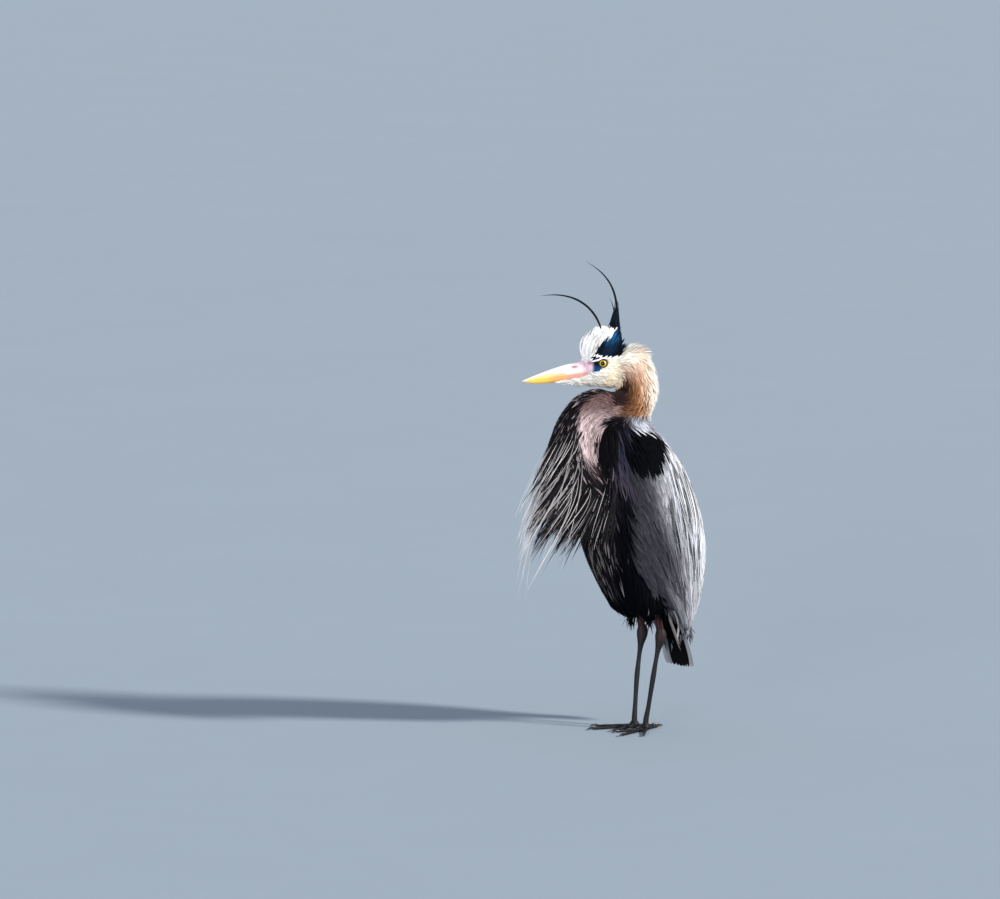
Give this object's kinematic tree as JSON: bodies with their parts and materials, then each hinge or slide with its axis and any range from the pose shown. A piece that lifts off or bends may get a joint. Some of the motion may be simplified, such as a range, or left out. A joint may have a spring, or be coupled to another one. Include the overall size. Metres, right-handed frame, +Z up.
{
  "type": "standing great blue heron",
  "caption": "Life-size still model of a great blue heron resting upright, neck folded, head turned to its right, crest and breast plumes raised and hanging.",
  "frame": {"origin": "middle of the foot of the bird's bounding box, on the floor it stands on", "axes": "+Z up, -Y the way the body faces, +X the bird's own left"},
  "size_m": [0.247, 0.4301, 0.9624],
  "materials": {
    "plumage_grey": "soft matt feathers, blue-grey with black and white marks",
    "plumage_white": "soft matt feathers, white with a black side to the crown",
    "plumage_buff": "soft matt feathers, mauve-grey, rufous and cream with dark streaks and long pale plumes",
    "plumage_black": "soft matt black feathers",
    "bill": "smooth horn, pink above and orange below",
    "eye": "wet and clear, yellow round a black pupil",
    "leg_skin": "dry scaled skin, dark",
    "claw": "smooth dark horn"
  },
  "bodies": {
    "root": {"trunk": "plumage_grey", "wing_left": "plumage_grey", "wing_right": "plumage_grey", "tail": "plumage_grey", "head": "plumage_white", "neck_upper": "plumage_buff", "neck_middle": "plumage_buff", "neck_lower": "plumage_buff", "breast_plumes": "plumage_buff", "thigh_left": "plumage_black", "thigh_right": "plumage_black", "crest_plume_front": "plumage_black", "crest_plumes_rear": "plumage_black", "bill_upper": "bill", "bill_lower": "bill", "eye_left": "eye", "eye_right": "eye", "shank_left": "leg_skin", "shank_right": "leg_skin", "tarsus_left": "leg_skin", "tarsus_right": "leg_skin", "foot_left": "leg_skin", "foot_right": "leg_skin", "toe_middle_left": "leg_skin", "toe_inner_left": "leg_skin", "toe_outer_left": "leg_skin", "toe_hind_left": "leg_skin", "toe_middle_right": "leg_skin", "toe_inner_right": "leg_skin", "toe_outer_right": "leg_skin", "toe_hind_right": "leg_skin", "claw_middle_left": "claw", "claw_inner_left": "claw", "claw_outer_left": "claw", "claw_hind_left": "claw", "claw_middle_right": "claw", "claw_inner_right": "claw", "claw_outer_right": "claw", "claw_hind_right": "claw"}
  },
  "joints": []
}
